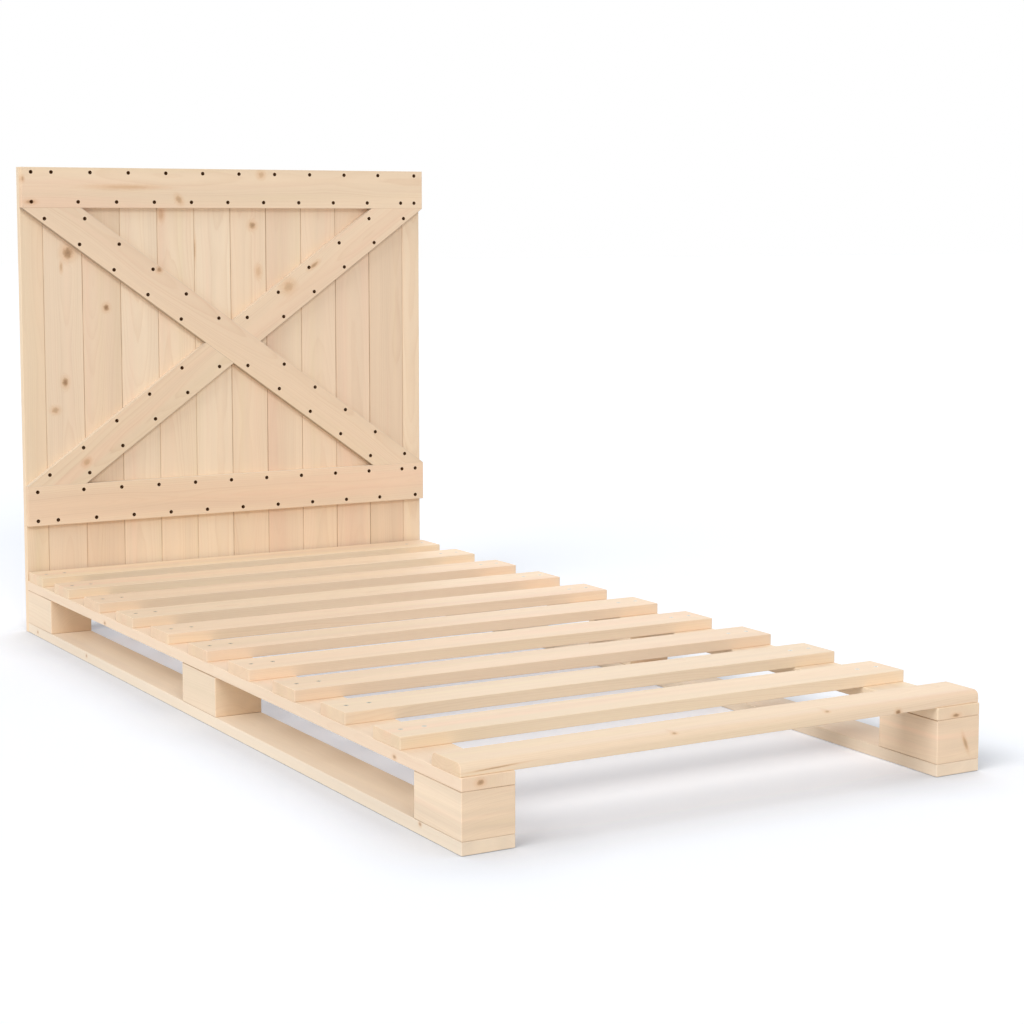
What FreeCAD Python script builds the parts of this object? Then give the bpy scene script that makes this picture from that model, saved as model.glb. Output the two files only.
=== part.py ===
import FreeCAD, Part
import math
import os

from FreeCAD import Vector

os.makedirs("parts", exist_ok=True)

# Sizes are in millimetres. X runs across the bed, Y from the foot to the head, Z up from the floor.
# The origin is on the floor, at the middle of the bed's width and of its whole length.

# Whole bed
bed_width = 1000.0
bed_height = 1044.0
skid_length = 2024.0

# Skids: a runner on the floor, three blocks and a rail on each side
board_thickness = 21.0
rail_width = 92.0
block_height = 75.0
foot_block_length = 150.0
middle_block_length = 160.0
head_block_length = 160.0
edge_radius = 1.5

# Deck: a foot board, evenly spaced slats and one more slat close to the headboard
foot_board_width = 90.0
foot_board_setback = 3.0
foot_board_radius = 11.0
foot_board_gap = 102.0
slat_width = 93.0
even_slat_count = 9
head_slat_neighbour_gap = 82.0
head_slat_gap = 11.0

# Headboard panel: upright tongue-and-groove planks, of which some at each side reach the floor as legs
panel_thickness = 18.0
first_plank_width = 51.7
plank_cover_width = 90.2
leg_plank_count = 2
tongue_thickness = 5.0
tongue_depth = 5.0
tongue_play = 0.2
groove_depth_play = 0.5
seam_chamfer = 1.2

# Headboard front: two level boards and a crossed brace between them
front_board_thickness = 18.0
top_board_width = 90.0
bottom_board_width = 90.0
bottom_board_height = 242.0
brace_width = 80.0

# Small countersunk wood screws, used on the headboard and the deck
small_head_diameter = 8.4
small_shank_diameter = 4.0
screw_tip_cover = 4.0
slat_screw_cover = 7.0

# Large countersunk wood screws, holding rails and runners to the blocks
large_head_diameter = 9.6
large_shank_diameter = 5.0
block_screw_bite = 29.0

# Details that all countersunk screws share
tip_length = 5.0
recess_span_share = 0.56
recess_width_share = 0.15
recess_depth_share = 0.26
screw_clearance = 0.1

# Screw places on the two level boards, from the plank seams and from the board edges
outer_row_seam_offset = 16.6
inner_row_seam_offset = 78.0
outer_row_inset = 11.0
inner_row_inset = 13.3
edge_screw_inset = 22.0

# Screw places on the braces, in level pairs from the corners towards the middle
brace_first_inset = 51.0
brace_pair_step = 80.0
brace_pair_spread = 93.3
brace_low_edge_inset = 17.7
brace_middle_clearance = 30.0

# Screw and dowel places on the skids
deck_screw_spread = 42.0
rail_screw_spread_x = 30.0
rail_screw_spread_y = 62.0
runner_screw_spread_x = 40.0
runner_screw_spread_y = 90.0

# Dowels between the foot board and the rails
dowel_diameter = 8.0
dowel_in_foot_board = 14.0
dowel_in_rail = 18.0
dowel_chamfer = 1.0

# Headboard bolts, each with a washer and a threaded insert in a head block
bolt_diameter = 8.0
bolt_bite = 33.0
bolt_head_diameter = 14.0
bolt_head_height = 4.4
bolt_head_rim = 0.6
bolt_head_flat_diameter = 7.6
socket_width = 5.0
socket_depth = 2.6
washer_diameter = 16.0
washer_thickness = 1.6
counterbore_diameter = 20.0
counterbore_depth = 7.5
insert_diameter = 12.0
insert_length = 20.0
bolt_edge_inset = 26.0
bolt_seam_offset = 20.3
bolt_clearance = 0.5

# Cuts run past the faces that they open by this much
overrun = 2.0

# Places that follow from the sizes
x_left = -bed_width / 2
x_right = bed_width / 2
y_foot = -(skid_length + panel_thickness) / 2
y_panel = y_foot + skid_length
y_back = y_panel + panel_thickness
y_front = y_panel - front_board_thickness
z_block = board_thickness
z_rail = z_block + block_height
z_deck = z_rail + board_thickness
z_top_board = bed_height - top_board_width
z_bottom_board_top = bottom_board_height + bottom_board_width
skid_starts = {"left": x_left, "right": x_right - rail_width}
y_head_slat = y_panel - head_slat_gap - slat_width

# Turns about X that send a fastener, drawn pointing down, another way
point_down = 0.0
point_up = 180.0
point_to_back = 90.0
point_to_foot = -90.0
full_turn = 360.0


def lathe(points):
    # Closed outline of (radius, height) points, turned about Z
    outline = [Vector(radius, 0, height) for radius, height in points]
    wire = Part.makePolygon(outline + outline[:1])
    return Part.Face(wire).revolve(Vector(0, 0, 0), Vector(0, 0, 1), full_turn)


def placed(shape, turn, place):
    copy = shape.copy()
    copy.rotate(Vector(0, 0, 0), Vector(1, 0, 0), turn)
    copy.translate(Vector(*place))
    return copy


def board(low, high, radius):
    size = [top - bottom for bottom, top in zip(low, high)]
    blank = Part.makeBox(*size, Vector(*low))
    return blank.makeFillet(radius, blank.Edges)


def drilled(shape, cutters):
    # Only the cutters that reach the piece are used
    near = [cutter for cutter in cutters if cutter.BoundBox.intersect(shape.BoundBox)]
    if not near:
        return shape
    return shape.cut(near)


def save(node, solids):
    shape = solids[0] if len(solids) == 1 else Part.makeCompound(solids)
    shape.exportStep("parts/" + node + ".step")


# Fasteners, drawn at the origin with the head's face at zero height and the point below


def cross_recess(head_diameter):
    span = head_diameter * recess_span_share
    width = head_diameter * recess_width_share
    depth = head_diameter * recess_depth_share
    bar = Part.makeBox(span, width, depth + overrun, Vector(-span / 2, -width / 2, -depth))
    other = Part.makeBox(width, span, depth + overrun, Vector(-width / 2, -span / 2, -depth))
    return bar.fuse(other)


def countersunk_screw(head_diameter, shank_diameter, length):
    head, shank = head_diameter / 2, shank_diameter / 2
    outline = [(0, 0), (head, 0), (shank, shank - head), (shank, tip_length - length), (0, -length)]
    return lathe(outline).cut(cross_recess(head_diameter))


def countersunk_hole(head_diameter, shank_diameter, length):
    mouth = head_diameter / 2 + screw_clearance + overrun
    bore = shank_diameter / 2 + screw_clearance
    taper = (shank_diameter - head_diameter) / 2
    end = -length - screw_clearance
    return lathe([(0, overrun), (mouth, overrun), (bore, taper), (bore, end), (0, end)])


def headboard_bolt(length):
    # The head's bearing face is at zero height, so the head stands above it
    rim, flat, shank = bolt_head_diameter / 2, bolt_head_flat_diameter / 2, bolt_diameter / 2
    dome_width, dome_height = rim - flat, bolt_head_height - bolt_head_rim
    lean = math.sqrt(1 / 2)
    middle = Vector(flat + dome_width * lean, 0, bolt_head_rim + dome_height * lean)
    start, end = Vector(rim, 0, bolt_head_rim), Vector(flat, 0, bolt_head_height)
    below = [Vector(0, 0, -length), Vector(shank, 0, -length), Vector(shank, 0, 0), Vector(rim, 0, 0), start]
    wire = Part.Wire(
        list(Part.makePolygon(below).Edges)
        + [Part.Arc(start, middle, end).toShape()]
        + list(Part.makePolygon([end, Vector(0, 0, bolt_head_height), below[0]]).Edges)
    )
    bolt = Part.Face(wire).revolve(Vector(0, 0, 0), Vector(0, 0, 1), full_turn)
    return bolt.cut(hex_socket())


def hex_socket():
    sides = 6
    reach = socket_width / 2 / math.cos(math.pi / sides)
    turns = [2 * math.pi * side / sides for side in range(sides + 1)]
    bottom = bolt_head_height - socket_depth
    corners = [Vector(reach * math.cos(turn), reach * math.sin(turn), bottom) for turn in turns]
    return Part.Face(Part.makePolygon(corners)).extrude(Vector(0, 0, socket_depth + overrun))


def tube(outer_diameter, bore_diameter, length):
    outer = Part.makeCylinder(outer_diameter / 2, length)
    return outer.cut(Part.makeCylinder(bore_diameter / 2, length))


def dowel():
    radius = dowel_diameter / 2
    end = radius - dowel_chamfer
    top, bottom = dowel_in_foot_board, -dowel_in_rail
    return lathe([
        (0, top), (end, top), (radius, top - dowel_chamfer),
        (radius, bottom + dowel_chamfer), (end, bottom), (0, bottom),
    ])


# Skids


def block_spans():
    head_start = y_panel - head_block_length
    middle_start = y_foot + (skid_length - middle_block_length) / 2
    return {
        "foot": (y_foot, y_foot + foot_block_length),
        "middle": (middle_start, middle_start + middle_block_length),
        "head": (head_start, y_panel),
    }


def diagonal_pair(x, y, spread_x, spread_y):
    # Two places, at opposite corners of a rectangle about the middle
    return [(x - spread_x / 2, y - spread_y / 2), (x + spread_x / 2, y + spread_y / 2)]


def skid_middles():
    return [start + rail_width / 2 for start in skid_starts.values()]


def slat_starts():
    first = y_foot + foot_board_setback + foot_board_width + foot_board_gap
    last = y_head_slat - head_slat_neighbour_gap - slat_width
    pitch = (last - first) / (even_slat_count - 1)
    return [first + pitch * number for number in range(even_slat_count)] + [y_head_slat]


def nearest_cover_middle(y):
    # The middle of the deck board that lies nearest to a place, which hides the rail's screws
    foot_middle = y_foot + foot_board_setback + foot_board_width / 2
    middles = [foot_middle] + [start + slat_width / 2 for start in slat_starts()]
    return min(middles, key=lambda middle: abs(middle - y))


def rail_screw_places():
    places = []
    for x in skid_middles():
        for start, end in block_spans().values():
            cover = nearest_cover_middle((start + end) / 2)
            pair = diagonal_pair(x, cover, rail_screw_spread_x, rail_screw_spread_y)
            places += [(px, py, z_deck) for px, py in pair]
    return places


def runner_screw_places():
    places = []
    for x in skid_middles():
        for start, end in block_spans().values():
            pair = diagonal_pair(x, (start + end) / 2, -runner_screw_spread_x, runner_screw_spread_y)
            places += [(px, py, 0) for px, py in pair]
    return places


def deck_fixing_places(y, z):
    places = []
    for x in skid_middles():
        places += [(x - deck_screw_spread / 2, y, z), (x + deck_screw_spread / 2, y, z)]
    return places


def dowel_places():
    return deck_fixing_places(y_foot + foot_board_setback + foot_board_width / 2, z_deck)


def slat_screw_places():
    places = []
    for start in slat_starts():
        places += deck_fixing_places(start + slat_width / 2, z_deck + board_thickness)
    return places


def bolt_places(y):
    height = z_block + block_height / 2
    inside = first_plank_width + bolt_seam_offset
    insets = [bolt_edge_inset, inside]
    return [(x_left + inset, y, height) for inset in insets] + [
        (x_right - inset, y, height) for inset in insets
    ]


def make_skids(holes):
    for side, x in skid_starts.items():
        low, high = x, x + rail_width
        runner = board((low, y_foot, 0), (high, y_panel, z_block), edge_radius)
        rail = board((low, y_foot, z_rail), (high, y_panel, z_deck), edge_radius)
        save(side + "_runner", [drilled(runner, holes["runner"])])
        save(side + "_rail", [drilled(rail, holes["rail"] + holes["slat"] + holes["dowel"])])
        for name, (start, end) in block_spans().items():
            block = board((low, start, z_block), (high, end, z_rail), edge_radius)
            cutters = holes["runner"] + holes["rail"] + holes["insert"]
            save(side + "_" + name + "_block", [drilled(block, cutters)])


# Deck


def foot_board_section(start, end, bottom, top):
    # Seen from the end: square below, rounded over above
    radius = foot_board_radius
    arc_inset = radius * (1 - math.sqrt(1 / 2))
    corners = [(start, top - radius), (start, bottom), (end, bottom), (end, top - radius)]
    square_side = Part.makePolygon([Vector(x_left, y, z) for y, z in corners]).Edges
    rounded = [
        [(end, top - radius), (end - arc_inset, top - arc_inset), (end - radius, top)],
        [(start + radius, top), (start + arc_inset, top - arc_inset), (start, top - radius)],
    ]
    arcs = [Part.Arc(*[Vector(x_left, y, z) for y, z in points]).toShape() for points in rounded]
    level = Part.makePolygon([Vector(x_left, end - radius, top), Vector(x_left, start + radius, top)]).Edges
    return Part.Face(Part.Wire(list(square_side) + arcs[:1] + list(level) + arcs[1:]))


def make_foot_board(holes):
    start = y_foot + foot_board_setback
    end = start + foot_board_width
    section = foot_board_section(start, end, z_deck, z_deck + board_thickness)
    blank = section.extrude(Vector(bed_width, 0, 0))
    below = z_deck + edge_radius
    eased = [e for e in blank.Edges if on_bed_end(e) or e.CenterOfMass.z < below]
    save("foot_board", [drilled(blank.makeFillet(edge_radius, eased), holes["dowel"])])


def on_bed_end(edge):
    return abs(edge.CenterOfMass.x) > x_right - edge_radius


def make_slats(holes):
    for number, start in enumerate(slat_starts(), 1):
        low = (x_left, start, z_deck)
        high = (x_right, start + slat_width, z_deck + board_thickness)
        slat = board(low, high, edge_radius)
        save("slat_%02d" % number, [drilled(slat, holes["slat"])])


# Headboard


def plank_edges():
    edges = [x_left, x_left + first_plank_width]
    while edges[-1] + plank_cover_width < x_right:
        edges.append(edges[-1] + plank_cover_width)
    return edges + [x_right]


def plank_outline(left, right, has_groove, has_tongue):
    tongue_front = y_panel + (panel_thickness - tongue_thickness) / 2
    tongue_back = tongue_front + tongue_thickness
    groove_front, groove_back = tongue_front - tongue_play, tongue_back + tongue_play
    points = [(left + seam_chamfer, y_panel), (left, y_panel + seam_chamfer)]
    if has_groove:
        depth = left + tongue_depth + groove_depth_play
        points += [(left, groove_front), (depth, groove_front), (depth, groove_back), (left, groove_back)]
        points += [(left, y_back)]
    else:
        points += [(left, y_back - seam_chamfer), (left + seam_chamfer, y_back)]
    if has_tongue:
        reach = right + tongue_depth
        points += [(right, y_back), (right, tongue_back), (reach, tongue_back), (reach, tongue_front)]
        points += [(right, tongue_front)]
    else:
        points += [(right - seam_chamfer, y_back), (right, y_back - seam_chamfer)]
    return points + [(right, y_panel + seam_chamfer), (right - seam_chamfer, y_panel)]


def make_planks(holes):
    edges = plank_edges()
    last = len(edges) - 2
    for number, (left, right) in enumerate(zip(edges, edges[1:])):
        is_leg = number < leg_plank_count or number > last - leg_plank_count
        bottom = 0 if is_leg else z_rail
        outline = plank_outline(left, right, number > 0, number < last)
        corners = [Vector(x, y, bottom) for x, y in outline]
        face = Part.Face(Part.makePolygon(corners + corners[:1]))
        plank = face.extrude(Vector(0, 0, bed_height - bottom))
        cutters = holes["panel"] + holes["bolt"]
        save("headboard_plank_%02d" % (number + 1), [drilled(plank, cutters)])


def brace_lean():
    # Angle to the level at which the brace fills the corners between the two level boards
    rise = z_top_board - z_bottom_board_top
    return math.atan2(rise, bed_width) + math.asin(brace_width / math.hypot(bed_width, rise))


def brace_level_width():
    return brace_width / math.sin(brace_lean())


def brace_shape(points):
    corners = [Vector(x, y_front, z) for x, z in points]
    face = Part.Face(Part.makePolygon(corners + corners[:1]))
    return face.extrude(Vector(0, front_board_thickness, 0))


def make_braces(holes):
    # The long brace falls from left to right, and the two halves butt against its edges
    width = brace_level_width()
    z_top, z_low = z_top_board, z_bottom_board_top
    z_middle = (z_top + z_low) / 2
    notch = width / 2 * math.tan(brace_lean())
    long_brace = [(x_left, z_top), (x_left + width, z_top), (x_right, z_low), (x_right - width, z_low)]
    upper_half = [(x_right - width, z_top), (x_right, z_top), (width / 2, z_middle), (0, z_middle + notch)]
    lower_half = [(-x, z_top + z_low - z) for x, z in upper_half]
    pieces = {"long_brace": long_brace, "upper_half_brace": upper_half, "lower_half_brace": lower_half}
    for node, points in pieces.items():
        save(node, [drilled(brace_shape(points), holes["panel"])])


def make_level_boards(holes):
    boards = {
        "headboard_top_board": (z_top_board, bed_height),
        "headboard_bottom_board": (bottom_board_height, z_bottom_board_top),
    }
    for node, (low, high) in boards.items():
        shape = board((x_left, y_front, low), (x_right, y_panel, high), edge_radius / 2)
        save(node, [drilled(shape, holes["panel"])])


def level_board_screws(z_outer, z_inner):
    seams = plank_edges()[1:-2]
    ends = [x_left + edge_screw_inset, x_right - edge_screw_inset]
    places = [(seam + outer_row_seam_offset, y_front, z_outer) for seam in seams]
    places += [(seam + inner_row_seam_offset, y_front, z_inner) for seam in seams]
    return places + [(x, y_front, z) for x in ends for z in (z_outer, z_inner)]


def top_board_screw_places():
    return level_board_screws(bed_height - outer_row_inset, z_top_board + inner_row_inset)


def bottom_board_screw_places():
    return level_board_screws(bottom_board_height + outer_row_inset, z_bottom_board_top - inner_row_inset)


def brace_screw_places():
    # The upper left quarter is worked out and then mirrored across and turned about the middle
    quarter = []
    inset = brace_first_inset
    while inset + brace_pair_spread < bed_width / 2 - brace_middle_clearance:
        z = z_top_board - (inset - brace_low_edge_inset) * math.tan(brace_lean())
        quarter += [(x_left + inset, z), (x_left + inset + brace_pair_spread, z)]
        inset += brace_pair_step
    total = z_top_board + z_bottom_board_top
    upper = quarter + [(-x, z) for x, z in quarter]
    lower = [(-x, total - z) for x, z in upper]
    return [(x, y_front, z) for x, z in upper + lower]


# Fastener groups and the holes that they sit in


def fit_fasteners():
    small = (small_head_diameter, small_shank_diameter)
    large = (large_head_diameter, large_shank_diameter)
    panel_length = front_board_thickness + panel_thickness - screw_tip_cover
    slat_length = 2 * board_thickness - slat_screw_cover
    block_length = board_thickness + block_screw_bite
    rows = [
        ("top_board_screws", small, panel_length, point_to_back, top_board_screw_places(), "panel"),
        ("bottom_board_screws", small, panel_length, point_to_back, bottom_board_screw_places(), "panel"),
        ("brace_screws", small, panel_length, point_to_back, brace_screw_places(), "panel"),
        ("slat_screws", small, slat_length, point_down, slat_screw_places(), "slat"),
        ("rail_screws", large, block_length, point_down, rail_screw_places(), "rail"),
        ("runner_screws", large, block_length, point_up, runner_screw_places(), "runner"),
    ]
    holes = {"panel": [], "slat": [], "rail": [], "runner": []}
    for node, diameters, length, turn, places, group in rows:
        screw = countersunk_screw(*diameters, length)
        hole = countersunk_hole(*diameters, length)
        save(node, [placed(screw, turn, place) for place in places])
        holes[group] += [placed(hole, turn, place) for place in places]
    return holes


def fit_dowels():
    save("foot_board_dowels", [placed(dowel(), point_down, place) for place in dowel_places()])
    radius = dowel_diameter / 2 + screw_clearance
    depth = dowel_in_rail + screw_clearance
    height = depth + dowel_in_foot_board + screw_clearance
    hole = Part.makeCylinder(radius, height, Vector(0, 0, -depth))
    return [placed(hole, point_down, place) for place in dowel_places()]


def fit_bolts():
    # Bolts go in from the back of the legs, and their heads stay below the surface
    y_seat = y_back - counterbore_depth
    length = bolt_bite + y_seat - y_panel + washer_thickness
    bore_diameter = bolt_diameter + bolt_clearance
    washer = tube(washer_diameter, bore_diameter, washer_thickness)
    insert = tube(insert_diameter, bolt_diameter + 2 * screw_clearance, insert_length)
    bolt = headboard_bolt(length)
    groups = {
        "headboard_bolts": (bolt, y_seat + washer_thickness),
        "bolt_washers": (washer, y_seat),
        "threaded_inserts": (insert, y_panel - insert_length),
    }
    for node, (shape, y) in groups.items():
        save(node, [placed(shape, point_to_foot, place) for place in bolt_places(y)])
    bore = Part.makeCylinder(bore_diameter / 2, bolt_bite + y_back - y_panel)
    mouth = Part.makeCylinder(counterbore_diameter / 2, counterbore_depth + overrun)
    seat = Part.makeCylinder(insert_diameter / 2 + screw_clearance, insert_length)
    y_tip = y_panel - bolt_bite - screw_clearance
    bores = [placed(bore, point_to_foot, place) for place in bolt_places(y_tip)]
    mouths = [placed(mouth, point_to_foot, place) for place in bolt_places(y_seat)]
    seats = [placed(seat, point_to_foot, place) for place in bolt_places(y_panel - insert_length)]
    return bores + mouths, bores + seats


all_holes = fit_fasteners()
all_holes["dowel"] = fit_dowels()
all_holes["bolt"], all_holes["insert"] = fit_bolts()
make_skids(all_holes)
make_foot_board(all_holes)
make_slats(all_holes)
make_planks(all_holes)
make_level_boards(all_holes)
make_braces(all_holes)
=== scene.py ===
import math
import random

import bpy
from mathutils import Matrix, Vector


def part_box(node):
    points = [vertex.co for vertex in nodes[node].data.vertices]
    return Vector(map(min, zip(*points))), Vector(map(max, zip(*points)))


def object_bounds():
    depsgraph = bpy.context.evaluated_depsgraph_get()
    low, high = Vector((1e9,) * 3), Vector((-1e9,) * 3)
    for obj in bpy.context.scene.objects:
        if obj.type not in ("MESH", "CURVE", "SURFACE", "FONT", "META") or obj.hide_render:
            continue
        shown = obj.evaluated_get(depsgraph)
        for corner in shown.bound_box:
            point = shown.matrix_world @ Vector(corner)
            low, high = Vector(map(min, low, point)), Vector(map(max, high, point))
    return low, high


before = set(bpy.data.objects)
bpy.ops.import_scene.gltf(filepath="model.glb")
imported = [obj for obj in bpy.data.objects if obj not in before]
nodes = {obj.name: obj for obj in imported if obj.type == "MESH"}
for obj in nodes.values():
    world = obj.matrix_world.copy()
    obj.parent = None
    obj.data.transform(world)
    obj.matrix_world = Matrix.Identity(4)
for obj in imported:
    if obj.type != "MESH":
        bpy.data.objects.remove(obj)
for thing in list(bpy.context.selected_objects):
    thing.select_set(False)
cadBox = [list(corner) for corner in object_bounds()]
print("bed frame loaded:", len(nodes), "parts")


def tint(hexText):  # a colour as it is written in a paint program, made linear
    parts = [int(hexText[i : i + 2], 16) / 255 for i in (0, 2, 4)]
    return [p / 12.92 if p <= 0.04045 else ((p + 0.055) / 1.055) ** 2.4 for p in parts] + [1]


class Wire:  # an output socket that can be reckoned with
    def __init__(self, finish, socket):
        self.finish = finish
        self.socket = socket

    def __add__(self, other):
        return self.finish.maths("ADD", self, other)

    def __radd__(self, other):
        return self.finish.maths("ADD", other, self)

    def __sub__(self, other):
        return self.finish.maths("SUBTRACT", self, other)

    def __rsub__(self, other):
        return self.finish.maths("SUBTRACT", other, self)

    def __mul__(self, other):
        return self.finish.maths("MULTIPLY", self, other)

    def __rmul__(self, other):
        return self.finish.maths("MULTIPLY", other, self)


class Finish:  # the nodes of one material, or of the sky
    def __init__(self, owner):
        owner.use_nodes = True
        self.owner = owner
        self.tree = owner.node_tree
        self.tree.nodes.clear()

    def node(self, kind, settings, sockets, out=0):
        made = self.tree.nodes.new(kind)
        for key, value in settings.items():
            if key == "stops":
                self.setStops(made.color_ramp, value)
            else:
                setattr(made, key, value)
        for key, value in sockets.items():
            if isinstance(value, Wire):
                self.tree.links.new(value.socket, made.inputs[key])
            else:
                made.inputs[key].default_value = value
        return Wire(self, made.outputs[out]) if made.outputs else made

    def setStops(self, ramp, stops):
        while len(ramp.elements) < len(stops):
            ramp.elements.new(0.5)
        for element, (position, colour) in zip(ramp.elements, stops):
            element.position = position
            element.color = colour

    def maths(self, operation, first, second=0.0):
        return self.node("ShaderNodeMath", {"operation": operation}, {0: first, 1: second})

    def vector(self, operation, first, second=(0, 0, 0), out=0):
        return self.node("ShaderNodeVectorMath", {"operation": operation}, {0: first, 1: second}, out)

    def dim(self, colour, amount):  # a colour made brighter or darker
        return self.node("ShaderNodeVectorMath", {"operation": "SCALE"}, {0: colour, "Scale": amount})

    def mix(self, amount, first, second, how="MIX"):
        settings = {"data_type": "RGBA", "blend_type": how}
        return self.node("ShaderNodeMix", settings, {0: amount, 6: first, 7: second}, 2)

    def fade(self, value, low, high, atLow=0.0, atHigh=1.0):
        sockets = {0: value, 1: low, 2: high, 3: atLow, 4: atHigh}
        return self.node("ShaderNodeMapRange", {"interpolation_type": "SMOOTHSTEP"}, sockets)

    def noise(self, place, seed, detail=2.0, scale=(1, 1, 1)):
        stretched = self.vector("MULTIPLY", place, scale)
        sockets = {"Vector": stretched, "W": seed, "Scale": 1.0, "Detail": detail, "Roughness": 0.5}
        return self.node("ShaderNodeTexNoise", {"noise_dimensions": "4D"}, sockets)

    def noiseAlong(self, value, seed, detail=0.0):
        sockets = {"W": value + seed, "Scale": 1.0, "Detail": detail}
        return self.node("ShaderNodeTexNoise", {"noise_dimensions": "1D"}, sockets)

    def split(self, place):
        parts = self.node("ShaderNodeSeparateXYZ", {}, {0: place}).socket.node
        return [Wire(self, socket) for socket in parts.outputs]

    def seen(self):  # 1 where a surface is looked at, also in metal or through glass
        path = self.node("ShaderNodeLightPath", {}, {}).socket.node
        kinds = ("Camera", "Glossy", "Transmission")
        looks = [Wire(self, path.outputs[f"Is {kind} Ray"]) for kind in kinds]
        return self.maths("MINIMUM", looks[0] + looks[1] + looks[2], 1.0)

    def surface(self, settings, bump=None):
        sockets = dict(settings)
        if bump:
            height, strength, depth = bump
            sockets["Normal"] = self.node(
                "ShaderNodeBump", {}, {"Height": height, "Strength": strength, "Distance": depth}
            )
        shader = self.node("ShaderNodeBsdfPrincipled", {}, sockets)
        self.node("ShaderNodeOutputMaterial", {}, {0: shader})
        return self.owner


# Untreated pine: colours as written, lengths in metres, shares from 0 to 1
pine = {
    "early wood": "f4dcbe",
    "late wood": "dcb893",
    "heartwood": "f0cdae",
    "blush": "f3cdb1",
    "straw": "f0dcb6",
    "bleached": "f4e8d6",
    "resin": "c08f5c",
    "end grain": "f0d9bd",
    # the colour of the painted shade in seams and joints
    "joint": "a07c56",
    "ring width": 0.0029,
    "ring contrast": 0.52,
    "heartwood radii": (0.022, 0.05),
    "heartwood share": 0.4,
    "band contrast": 0.6,
    "cloud contrast": 0.25,
    "fibre contrast": 0.06,
    "dash share": 0.4,
    # painted shade along the long edges of the front boards: how deep it reaches, how dark it is, and
    # how far the upper edges are paled
    "edge depth": 0.0012,
    "painted edge shade": 0.1,
    "upper edge share": 0.42,
    "end depth": 0.0007,
    "end share": 0.25,
    "roughness": 0.6,
    "relief": 0.00016,
    "relief strength": 0.35,
}

# Patterns in the wood: a shift of the seed, the detail, and how fine each is along the grain,
# across it and deep
patterns = {
    "wander": (0, 1.0, (1.7, 0.4, 0.4)),
    "sway": (7, 1.0, (2.3, 0.4, 0.4)),
    "ripple": (13, 3.0, (7, 38, 38)),
    "patch": (41, 1.0, (3, 16, 16)),
    "band": (53, 2.0, (1.0, 27, 27)),
    "fibre": (61, 2.0, (26, 1000, 1000)),
    "cloud": (71, 3.0, (1.0, 27, 27)),
    "dash": (83, 0.0, (50, 1100, 1100)),
    "joint shade patches": (97, 2.0, (9, 9, 9)),
}

# How far the rings stray from plain circles, in metres, and how dark they are from spring to winter
rings = {
    "wander": 0.034,
    "sway": 0.03,
    "ripple": 0.004,
    "season scale": 42,
    "season": 5,
    "hard shift": 31,
    "hard scale": 0.61,
    "hard": 1.1,
    "late wood": ((0.0, 0.1), (0.3, 0.02), (0.72, 0.5), (0.92, 1.0), (1.0, 0.12)),
}

knots = {
    "colour": "ad8763",
    "ring colour": "86623f",
    "halo colour": "e9cdab",
    "ragged scale": 150.0,
    "raggedness": 0.85,
    "bend reach": (3.2, 1.7, 1.3),
    "bend": 0.007,
    "rim": (0.4, 1.25),
    "halo reach": (0.9, 2.6),
    "halo share": 0.5,
    "rings": 3.4,
    "ring share": 0.35,
    "heart share": 0.7,
}

grainWays = {
    "upright": (Vector((0, 0, 1)), Vector((1, 0, 0))),
    "level": (Vector((1, 0, 0)), Vector((0, 0, 1))),
    "lengthwise": (Vector((0, 1, 0)), Vector((1, 0, 0))),
    "crosswise": (Vector((1, 0, 0)), Vector((0, 1, 0))),
}


def turnToGrain(board):  # the turn that lays a board's grain along X and its width along Y
    if "lean" in board:
        lean = math.radians(board["lean"])
        grain = Vector((math.cos(lean), 0, math.sin(lean)))
        aside = Vector((-math.sin(lean), 0, math.cos(lean)))
    else:
        grain, aside = grainWays[board["grain"]]
    return Matrix((grain, aside, grain.cross(aside)))


def woodPattern(finish, local, seed, name, scale=None):
    shift, detail, usualScale = patterns[name]
    return finish.noise(local, seed + shift, detail, scale or usualScale)


def knotReach(finish, place, ragged, turned, middle, knot):
    # Distance from a knot's heart, 1 at its rim, and the same stretched along the grain
    spot, (long, wide, deep) = knot[:2]
    heart = turned @ (Vector(spot) - middle)
    place = finish.vector("ADD", place, finish.dim(ragged, min(long, wide, deep) * knots["raggedness"]))
    turn = [math.radians(angle) for angle in (knot[3] if len(knot) > 3 else (0, 0, 0))]
    reach = [size * times for size, times in zip((long, wide, deep), knots["bend reach"])]
    core = {"Vector": place, "Location": heart, "Rotation": turn, "Scale": (long, wide, deep)}
    swerve = {"Vector": place, "Location": heart, "Scale": reach}
    near = finish.node("ShaderNodeMapping", {"vector_type": "TEXTURE"}, core)
    bent = finish.node("ShaderNodeMapping", {"vector_type": "TEXTURE"}, swerve)
    return [finish.vector("LENGTH", v, out=1) for v in (near, bent)]


def findKnots(finish, board, local, turned, middle):
    # The nearest core, the nearest bend of the grain, and how dark each core is
    near = swerve = dark = None
    if "knots" in board:
        sockets = {"Vector": local, "Scale": knots["ragged scale"], "Detail": 2.0}
        ragged = finish.node("ShaderNodeTexNoise", {}, sockets, "Color")
        ragged = finish.vector("SUBTRACT", ragged, (0.5, 0.5, 0.5))
    for knot in board.get("knots", []):
        core, bend = knotReach(finish, local, ragged, turned, middle, knot)
        stain = finish.fade(core, *knots["rim"], knot[2], 0.0)
        near = finish.maths("MINIMUM", near, core) if near else core
        swerve = finish.maths("MINIMUM", swerve, bend) if swerve else bend
        dark = finish.maths("MAXIMUM", dark, stain) if dark else stain
    return near, swerve, dark


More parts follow.
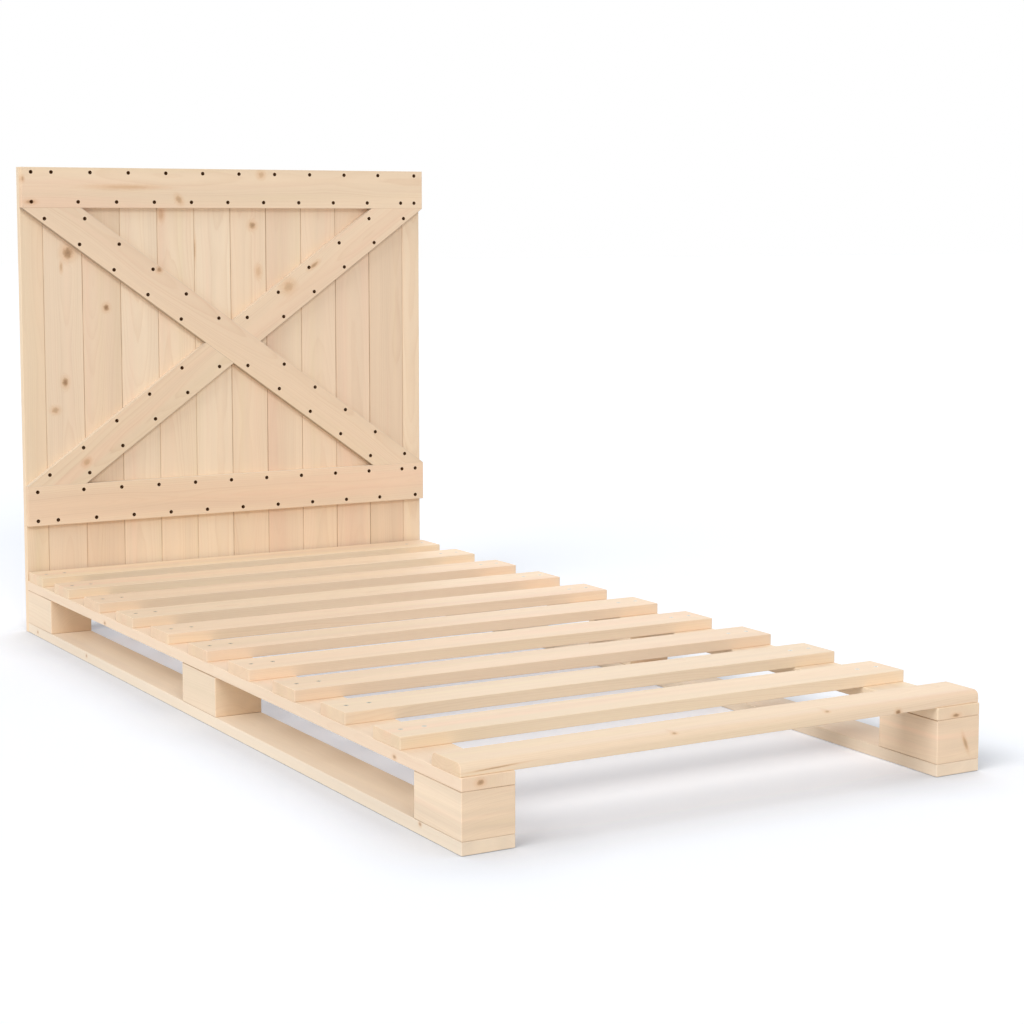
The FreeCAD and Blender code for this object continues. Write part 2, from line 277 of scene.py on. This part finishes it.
def growRings(finish, board, dice, seed, local, ways, swerve):
    # Growth rings round a pith that wanders along the board, and the late wood in each ring
    along, aside, deep = ways
    pithAside = board.get("pith aside", dice.uniform(-0.03, 0.03))
    pithDeep = board.get("pith deep", dice.choice((-1, 1)) * dice.uniform(0.035, 0.085))
    leanAside = dice.uniform(-0.012, 0.012)
    leanDeep = dice.uniform(-0.028, 0.028)
    wander = woodPattern(finish, local, seed, "wander") - 0.5
    sway = woodPattern(finish, local, seed, "sway") - 0.5
    ripple = woodPattern(finish, local, seed, "ripple") - 0.5
    fromSide = aside - (along * leanAside + wander * rings["wander"] + pithAside)
    fromDeep = deep - (along * leanDeep + sway * rings["sway"] + pithDeep)
    radius = finish.maths("SQRT", fromSide * fromSide + fromDeep * fromDeep)
    radius = radius + ripple * rings["ripple"]
    if swerve:
        radius = radius + finish.fade(swerve, 0.1, 1.0, knots["bend"], 0.0)
    season = finish.noiseAlong(radius * rings["season scale"], seed, 1.0)
    turns = radius * (1 / pine["ring width"]) + season * rings["season"]
    stops = [(position, (amount,) * 4) for position, amount in rings["late wood"]]
    late = finish.node("ShaderNodeValToRGB", {"stops": stops}, {0: finish.maths("FRACT", turns)})
    hard = finish.noiseAlong(turns * rings["hard scale"], seed + rings["hard shift"]) * rings["hard"]
    patch = woodPattern(finish, local, seed, "patch")
    return radius, late * hard * finish.fade(patch, 0.25, 0.75, 0.45, 1.15)


def colourWood(finish, board, dice, seed, local, radius, late, fibre, dash):
    # Rings, heartwood, pink and straw bands, clouds, fibres and short dashes of resin
    colour = finish.mix(late * pine["ring contrast"], tint(pine["early wood"]), tint(pine["late wood"]))
    heart = finish.fade(radius, *pine["heartwood radii"], pine["heartwood share"], 0.0)
    colour = finish.mix(heart, colour, tint(pine["heartwood"]))
    band = woodPattern(finish, local, seed, "band", board.get("bands"))
    blush = finish.fade(band, 0.5, 0.8, 0.0, pine["band contrast"])
    straw = finish.fade(band, 0.2, 0.48, pine["band contrast"], 0.0)
    colour = finish.mix(blush, colour, tint(pine["blush"]))
    colour = finish.mix(straw, colour, tint(pine["straw"]))
    tone = board.get("blush", dice.uniform(-0.12, 0.25))
    toward = tint(pine["blush"] if tone > 0 else pine["straw"])
    colour = finish.mix(abs(tone), colour, toward)
    colour = finish.mix(board.get("bleach", 0.0), colour, tint(pine["bleached"]))
    cloud = woodPattern(finish, local, seed, "cloud", board.get("bands"))
    bright = 1 + board.get("pale", dice.uniform(-0.02, 0.02))
    level = (fibre - 0.5) * pine["fibre contrast"]
    level = level + (cloud - 0.5) * board.get("clouds", pine["cloud contrast"]) + bright
    return finish.mix(dash * late, finish.dim(colour, level), tint(pine["resin"]))


def paintEdgeShade(finish, board, colour, aside):
    # Painted shade along the long edges of the front boards: the lower edges darkened, the upper ones
    # paled and a little darkened to tone down their lit rim
    edge = board["edge"]
    depth = pine["edge depth"]
    lower = finish.fade(aside, 0.0002 - edge, depth - edge, 1.0, 0.0)
    upper = finish.fade(aside, edge - depth, edge - 0.0002, 0.0, pine["upper edge share"])
    colour = finish.mix(upper, colour, tint(pine["bleached"]))
    return finish.dim(colour, 1 - (lower + upper) * board.get("painted edge shade", pine["painted edge shade"]))


def stainKnots(finish, colour, near, dark):
    halo = finish.fade(near, *knots["halo reach"], knots["halo share"], 0.0)
    halo = halo * finish.fade(dark, 0.0, 0.1, 0.7, 1.0)
    growth = finish.maths("FRACT", near * knots["rings"])
    core = finish.mix(growth * knots["ring share"], tint(knots["colour"]), tint(knots["ring colour"]))
    heart = finish.fade(near, 0.0, 0.5, knots["heart share"], 0.0)
    core = finish.mix(heart, core, tint(knots["ring colour"]))
    colour = finish.mix(halo, colour, tint(knots["halo colour"]), "MULTIPLY")
    return finish.mix(dark, colour, core)


def findJoints(finish, board, place, deep, end):
    gap = None
    if "seams" in board:  # painted shade in the V grooves between planks
        x = finish.split(place)[0]
        for seam, strength in board["seams"]:
            line = finish.fade(finish.maths("ABSOLUTE", x - seam), 0.0003, 0.0016, strength, 0.0)
            gap = finish.maths("MAXIMUM", gap, line) if gap else line
    if "joint" in board:  # painted shade along the lines where a block meets rail and runner
        fromMiddle = finish.maths("ABSOLUTE", deep)
        line = finish.fade(fromMiddle, board["joint"] - 0.0022, board["joint"] - 0.0004)
        gap = line * (1.25 - end * 1.05)
    return gap


def pineFinish(node, board):
    dice = random.Random(node + "pine")
    low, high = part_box(node)
    middle = Vector(board.get("middle", (low + high) / 2))
    half = max(high - low) / 2
    turned = turnToGrain(board)
    seed = dice.uniform(0, 90)
    finish = Finish(bpy.data.materials.new("pine_" + node))
    place = finish.node("ShaderNodeTexCoord", {}, {}, "Object")
    sockets = {"Vector": place, "Location": -(turned @ middle), "Rotation": turned.to_euler()}
    local = finish.node("ShaderNodeMapping", {"vector_type": "POINT"}, sockets)
    along, aside, deep = finish.split(local)

    near, swerve, dark = findKnots(finish, board, local, turned, middle)
    radius, late = growRings(finish, board, dice, seed, local, (along, aside, deep), swerve)
    fibre = woodPattern(finish, local, seed, "fibre")
    dash = finish.fade(woodPattern(finish, local, seed, "dash"), 0.76, 0.84, 0.0, pine["dash share"])
    colour = colourWood(finish, board, dice, seed, local, radius, late, fibre, dash)
    if "edge" in board:
        colour = paintEdgeShade(finish, board, colour, aside)

    # Sawn ends, where the grain is cut: a leaning brace is cut upright at the bed's sides
    if "lean" in board:
        way, reach = finish.split(place)[0], cadBox[1][0]
    else:
        way, reach = along, half
    end = finish.fade(finish.maths("ABSOLUTE", way), reach - pine["end depth"], reach - 0.0003)
    colour = finish.mix(end * pine["end share"], colour, tint(pine["end grain"]), "MULTIPLY")

    if near:
        colour = stainKnots(finish, colour, near, dark)
    # Painted shade in the plank seams and block joints, its strength varied by a noise
    gap = findJoints(finish, board, place, deep, end)
    if gap:
        wearAndShadeVariation = finish.fade(woodPattern(finish, local, seed, "joint shade patches"), 0.25, 0.7, 0.3, 0.75)
        colour = finish.mix(gap * wearAndShadeVariation, colour, tint(pine["joint"]))

    roughness = pine["roughness"] + (fibre - 0.5) * 0.16 - late * 0.06 + end * 0.12
    height = fibre * 0.6 + late * 0.5 - dash
    settings = {"Base Color": colour, "Roughness": roughness}
    return finish.surface(settings, (height, pine["relief strength"], pine["relief"]))


def dress(node, material):
    for slot in nodes[node].material_slots:
        slot.material = material


# Headboard planks, left to right: paler or darker, pinker (+) or yellower (-), and knots as
# place, half sizes along the grain, across and deep, darkness, and perhaps a turn
plankFront = 1.003
firstSeam = -0.4483
plankCover = 0.0902
# how dark the painted shade in each plank seam is
seamStrengths = (0.6, 0.85, 0.85, 0.8, 0.6, 1.0, 1.0, 0.85, 0.95, 1.2, 0.65)
plankSeams = [(firstSeam + plankCover * n, strength) for n, strength in enumerate(seamStrengths)]
planks = [
    {"pale": -0.01, "blush": -0.12},
    {
        "pale": -0.005,
        "blush": 0.12,
        "bleach": 0.15,
        "knots": [
            ((-0.391, plankFront, 0.853), (0.012, 0.012, 0.03), 0.8),
            ((-0.407, plankFront, 0.822), (0.009, 0.0028, 0.01), 0.3),
            ((-0.4025, plankFront, 0.562), (0.009, 0.0065, 0.03), 0.9),
            ((-0.427, plankFront, 0.5), (0.006, 0.008, 0.012), 0.4),
        ],
    },
    {
        "pale": -0.025,
        "blush": 0.2,
        "bleach": 0.06,
        "knots": [((-0.303, plankFront, 0.729), (0.007, 0.0065, 0.03), 0.95)],
    },
    {"pale": 0.01, "blush": 0.0, "bleach": 0.18},
    {
        "pale": 0.035,
        "blush": 0.0,
        "bleach": 0.1,
        "knots": [((-0.168, plankFront, 0.94), (0.011, 0.006, 0.03), 0.2)],
    },
    {
        "pale": 0.04,
        "blush": -0.05,
        "bleach": 0.2,
        "knots": [((-0.0875, plankFront, 0.86), (0.022, 0.003, 0.02), 0.4)],
    },
    {
        "pale": 0.02,
        "blush": 0.08,
        "bleach": 0.06,
        "knots": [
            ((0.059, plankFront, 0.914), (0.008, 0.0075, 0.03), 0.7),
            ((0.073, plankFront, 0.806), (0.011, 0.006, 0.03), 0.12),
        ],
    },
    {"pale": -0.005, "blush": 0.1, "bleach": 0.1},
    {"pale": 0.02, "blush": 0.2, "bleach": 0.1},
    {"pale": -0.01, "blush": 0.25, "bleach": 0.08},
    {"pale": -0.075, "blush": 0.18},
    {"pale": 0.012, "blush": 0.05},
]
for number, plank in enumerate(planks):
    name = f"headboard_plank_{number + 1:02d}"
    seams = plankSeams[max(number - 1, 0) : number + 1]
    dress(name, pineFinish(name, {"grain": "upright", "seams": seams, **plank}))
print("planks finished:", len(planks))

# Front boards: the braces lean both ways from the place where they cross
boardFront = 0.985
# boardEdge and braceEdge give where the long edges lie from the middle, and how dark their painted
# shade is
boardEdge = 0.045
braceLean = 35.77
crossing = (0, 0.994, 0.643)
braceEdge = {"edge": 0.04, "painted edge shade": 0.4}
frontBoards = {
    "headboard_top_board": {
        "grain": "level",
        "blush": 0.06,
        "edge": boardEdge,
        "knots": [
            ((-0.497, boardFront, 1.018), (0.003, 0.005, 0.02), 0.4),
            ((-0.257, boardFront, 1.001), (0.055, 0.004, 0.02), 0.1),
            ((-0.13, boardFront, 0.973), (0.006, 0.009, 0.03), 0.4, (0, 0, 35)),
            ((-0.48, boardFront, 0.967), (0.01, 0.004, 0.03), 0.6),
            ((0.075, boardFront, 1.032), (0.007, 0.007, 0.03), 0.2),
        ],
    },
    "headboard_bottom_board": {"grain": "level", "edge": boardEdge},
    "long_brace": {
        **braceEdge,
        "lean": -braceLean,
        "pale": -0.02,
        "blush": 0.15,
        "knots": [((-0.1807, boardFront, 0.8134), (0.0055, 0.0055, 0.03), 0.7)],
    },
    "upper_half_brace": {
        **braceEdge,
        "middle": crossing,
        "lean": braceLean,
        "pale": -0.03,
        "blush": 0.1,
        "knots": [
            ((0.142, boardFront, 0.77), (0.013, 0.011, 0.03), 0.25),
            ((0.209, boardFront, 0.82), (0.012, 0.004, 0.03), 0.6),
        ],
    },
    "lower_half_brace": {
        **braceEdge,
        "middle": crossing,
        "lean": braceLean,
        "pale": -0.04,
        "blush": -0.05,
        "knots": [((-0.362, boardFront, 0.38), (0.008, 0.006, 0.03), 0.3)],
    },
}
for name, board in frontBoards.items():
    dress(name, pineFinish(name, board))
print("front boards finished:", len(frontBoards))

# Skids: the blocks get fine lines of painted shade at their joints, half their height above and below
# their middle
blockJoint = {"joint": 0.0375}
skids = {
    "left_rail": {
        "pith aside": -0.014,
        "pith deep": 0.0,
        "knots": [
            ((-0.5, 0.497, 0.102), (0.005, 0.02, 0.003), 0.6),
            ((-0.5, -0.807, 0.103), (0.005, 0.02, 0.003), 0.6),
            ((-0.468, -1.021, 0.107), (0.01, 0.006, 0.004), 0.7),
        ],
    },
    "right_rail": {
        "pith aside": -0.006,
        "pith deep": 0.0,
        "knots": [((0.448, -1.021, 0.101), (0.01, 0.007, 0.003), 0.8)],
    },
    "left_runner": {
        "bleach": 0.65,
        "knots": [
            ((-0.5, 0.938, 0.01), (0.004, 0.02, 0.003), 0.6),
            ((-0.5, 0.614, 0.013), (0.004, 0.02, 0.003), 0.6),
            ((-0.5, -0.891, 0.017), (0.004, 0.02, 0.003), 0.6),
        ],
    },
    "right_runner": {"bleach": 0.65},
    "left_foot_block": {
        **blockJoint,
        "pith deep": 0.4,
        "pith aside": 0.05,
        "bands": (1.5, 5, 60),
        "clouds": 0.4,
    },
    "left_middle_block": blockJoint,
    "left_head_block": blockJoint,
    "right_foot_block": {
        **blockJoint,
        "pith deep": -0.35,
        "pith aside": -0.03,
        "bands": (1.5, 5, 55),
        "clouds": 0.36,
        "knots": [((0.47, -1.021, 0.051), (0.017, 0.0028, 0.012), 0.45, (-22, 0, 0))],
    },
    "right_middle_block": blockJoint,
    "right_head_block": blockJoint,
}
for name, board in skids.items():
    dress(name, pineFinish(name, {"grain": "lengthwise", "bleach": 0.22, **board}))
print("skids finished:", len(skids))

slatCount = 10
deck = {
    "foot_board": {
        "blush": 0.1,
        "bleach": 0.0,
        "knots": [
            ((-0.118, -1.018, 0.1365), (0.004, 0.02, 0.0012), 0.5),
            ((0.181, -1.018, 0.1365), (0.004, 0.02, 0.0012), 0.45),
            ((0.325, -1.018, 0.12), (0.005, 0.02, 0.0042), 1.0),
            ((-0.44, -1.018, 0.125), (0.036, 0.02, 0.001), 0.55, (0, -2.5, 0)),
        ],
    },
    **{f"slat_{number:02d}": {} for number in range(1, slatCount + 1)},
}
for name, board in deck.items():
    dress(name, pineFinish(name, {"grain": "crosswise", "bleach": 0.1, **board}))
print("foot board and slats finished:", len(deck))

# Screws and bolts: black ones on the headboard's front, zinc and brass ones inside and behind
metals = {
    "black_screw": {
        "colour": "3a210b",
        "wearAndShadeVariation": "503014",
        "metal": 0.0,
        "roughness": 0.62,
        "shine": 0.06,
    },
    "zinc": {"colour": "c9c9c2", "wearAndShadeVariation": "b3b4ad", "metal": 1.0, "roughness": 0.34, "shine": 0.5},
    "brass": {"colour": "c9a75c", "wearAndShadeVariation": "b08d45", "metal": 1.0, "roughness": 0.38, "shine": 0.5},
}
metalRelief = (0.2, 0.00004)  # strength and depth


def metalFinish(name):
    metal = metals[name]
    finish = Finish(bpy.data.materials.new(name))
    place = finish.node("ShaderNodeTexCoord", {}, {}, "Object")
    cloud = finish.noise(place, 3, 3.0, (320, 320, 320))
    grit = finish.noise(place, 9, 2.0, (2600, 2600, 2600))
    wearAndShadeVariation = finish.fade(cloud * 0.7 + grit * 0.3, 0.42, 0.68)
    colour = finish.mix(wearAndShadeVariation, tint(metal["colour"]), tint(metal["wearAndShadeVariation"]))
    roughness = metal["roughness"] + (grit - 0.5) * 0.2 + (cloud - 0.5) * 0.16
    settings = {"Base Color": colour, "Roughness": roughness, "Metallic": metal["metal"]}
    settings["Specular IOR Level"] = metal["shine"]
    return finish.surface(settings, (grit, *metalRelief))


dowel = {"light": "dcb78e", "dark": "cda173", "fleck": "9c6d43", "roughness": 0.62, "relief": 0.0001}


def dowelFinish():
    finish = Finish(bpy.data.materials.new("beech_dowel"))
    place = finish.node("ShaderNodeTexCoord", {}, {}, "Object")
    band = finish.noise(place, 2, 2.0, (500, 500, 20))
    fleck = finish.fade(finish.noise(place, 5, 0.0, (1500, 1500, 160)), 0.66, 0.74, 0.0, 0.7)
    colour = finish.mix(band, tint(dowel["light"]), tint(dowel["dark"]))
    colour = finish.mix(fleck, colour, tint(dowel["fleck"]))
    settings = {"Base Color": colour, "Roughness": dowel["roughness"] + band * 0.1}
    return finish.surface(settings, (band - fleck, 0.3, dowel["relief"]))


fasteners = {
    "black_screw": ["top_board_screws", "bottom_board_screws", "brace_screws"],
    "zinc": ["slat_screws", "rail_screws", "runner_screws", "headboard_bolts", "bolt_washers"],
    "brass": ["threaded_inserts"],
}
for metal, groups in fasteners.items():
    material = metalFinish(metal)
    for group in groups:
        dress(group, material)
dress("foot_board_dowels", dowelFinish())
print("screws, bolts and dowels finished")

# Floor: plain for the light that it sends back to the bed, and nearly white where it is seen, with a
# painted shadow round the bed
floorLook = {
    "colour": "e9e9ea",
    "seen colour": "f9f5f2",
    "glow colour": "b8dcff",
    "glow strength": 0.26,
    "half width": 40.0,
    "drop": 0.0006,
    "shade": 0.62,
    "shade reach": 0.18,
    "shade inset": 0.09,
}


def shadeFloor(finish):
    # Round the bed, but not under it, the seen floor gets a painted contact shadow: it darkens softly
    # towards the wood
    sockets = {"Distance": floorLook["shade reach"]}
    closeness = 1 - finish.node("ShaderNodeAmbientOcclusion", {"samples": 16}, sockets, "AO")
    place = finish.split(finish.node("ShaderNodeTexCoord", {}, {}, "Object"))
    across, along = [finish.maths("ABSOLUTE", way) for way in place[:2]]
    wide, long = cadBox[1][:2]
    beside = finish.fade(across, wide - floorLook["shade inset"], wide)
    before = finish.fade(along, long - floorLook["shade inset"], long)
    return 1 - closeness * finish.maths("MAXIMUM", beside, before) * floorLook["shade"]


def layFloor():
    size = 2 * floorLook["half width"]
    bpy.ops.mesh.primitive_plane_add(size=size, location=(0, 0, -floorLook["drop"]))
    floor = bpy.context.object
    floor.name = "floor"
    finish = Finish(bpy.data.materials.new("floor"))
    shade = shadeFloor(finish)
    pale = finish.node("ShaderNodeBsdfDiffuse", {}, {"Color": tint(floorLook["colour"])})
    seen = finish.dim(tint(floorLook["seen colour"])[:3], shade)
    grey = finish.node("ShaderNodeBsdfDiffuse", {}, {"Color": seen})
    shine = finish.dim(tint(floorLook["glow colour"])[:3], shade)
    sockets = {"Color": shine, "Strength": floorLook["glow strength"]}
    glow = finish.node("ShaderNodeEmission", {}, sockets)
    lit = finish.node("ShaderNodeAddShader", {}, {0: grey, 1: glow})
    both = finish.node("ShaderNodeMixShader", {}, {0: finish.seen(), 1: pale, 2: lit})
    finish.node("ShaderNodeOutputMaterial", {}, {0: both})
    floor.data.materials.append(finish.owner)
    floor.select_set(False)


# Sky: soft light from all round, and plain white where it is seen
sky = {"strength": 0.39, "seen strength": 1.0}


def paintSky():
    bpy.context.scene.world = bpy.data.worlds.new("studio")
    finish = Finish(bpy.context.scene.world)
    white = (1, 1, 1, 1)
    hidden = finish.node("ShaderNodeBackground", {}, {"Color": white, "Strength": sky["strength"]})
    shown = finish.node("ShaderNodeBackground", {}, {"Color": white, "Strength": sky["seen strength"]})
    both = finish.node("ShaderNodeMixShader", {}, {0: finish.seen(), 1: hidden, 2: shown})
    finish.node("ShaderNodeOutputWorld", {}, {0: both})


# Lamps: the way towards each, its strength, and how many degrees of sky it fills
lamps = {
    "front lamp": {"toward": (-0.16, -0.88, 0.45), "strength": 0.83, "spread": 18},
    "side lamp": {"toward": (-0.74, -0.22, 0.635), "strength": 1.56, "spread": 42},
    "back lamp": {"toward": (0.56, 0.78, 0.27), "strength": 1.1, "spread": 80},
}
lampDistance = 5


def hangLamp(name, lamp):
    toward = Vector(lamp["toward"])
    data = bpy.data.lights.new(name, "SUN")
    data.energy = lamp["strength"]
    data.angle = math.radians(lamp["spread"])
    placed = bpy.data.objects.new(name, data)
    bpy.context.scene.collection.objects.link(placed)
    placed.location = toward * lampDistance
    placed.rotation_euler = toward.to_track_quat("Z", "Y").to_euler()


layFloor()
paintSky()
for name, lamp in lamps.items():
    hangLamp(name, lamp)
print("studio ready:", len(lamps), "lamps")

# Camera: metres, degrees, millimetres of lens and film, and a share of the frame
camera = {
    "place": (-2.0079, -3.7568, 0.9308),
    "turn": (84.1958, 0.0, -30.2205),
    "lens": 76.801,
    "film": 36,
    "shift": -0.07,
    "far": 200,
}


def standCamera():
    data = bpy.data.cameras.new("camera")
    data.lens = camera["lens"]
    data.sensor_width = camera["film"]
    data.shift_y = camera["shift"]
    data.clip_end = camera["far"]
    placed = bpy.data.objects.new("camera", data)
    bpy.context.scene.collection.objects.link(placed)
    placed.location = camera["place"]
    placed.rotation_euler = [math.radians(angle) for angle in camera["turn"]]
    bpy.context.scene.camera = placed


standCamera()
bpy.context.scene.view_settings.view_transform = "Standard"
print("camera ready")
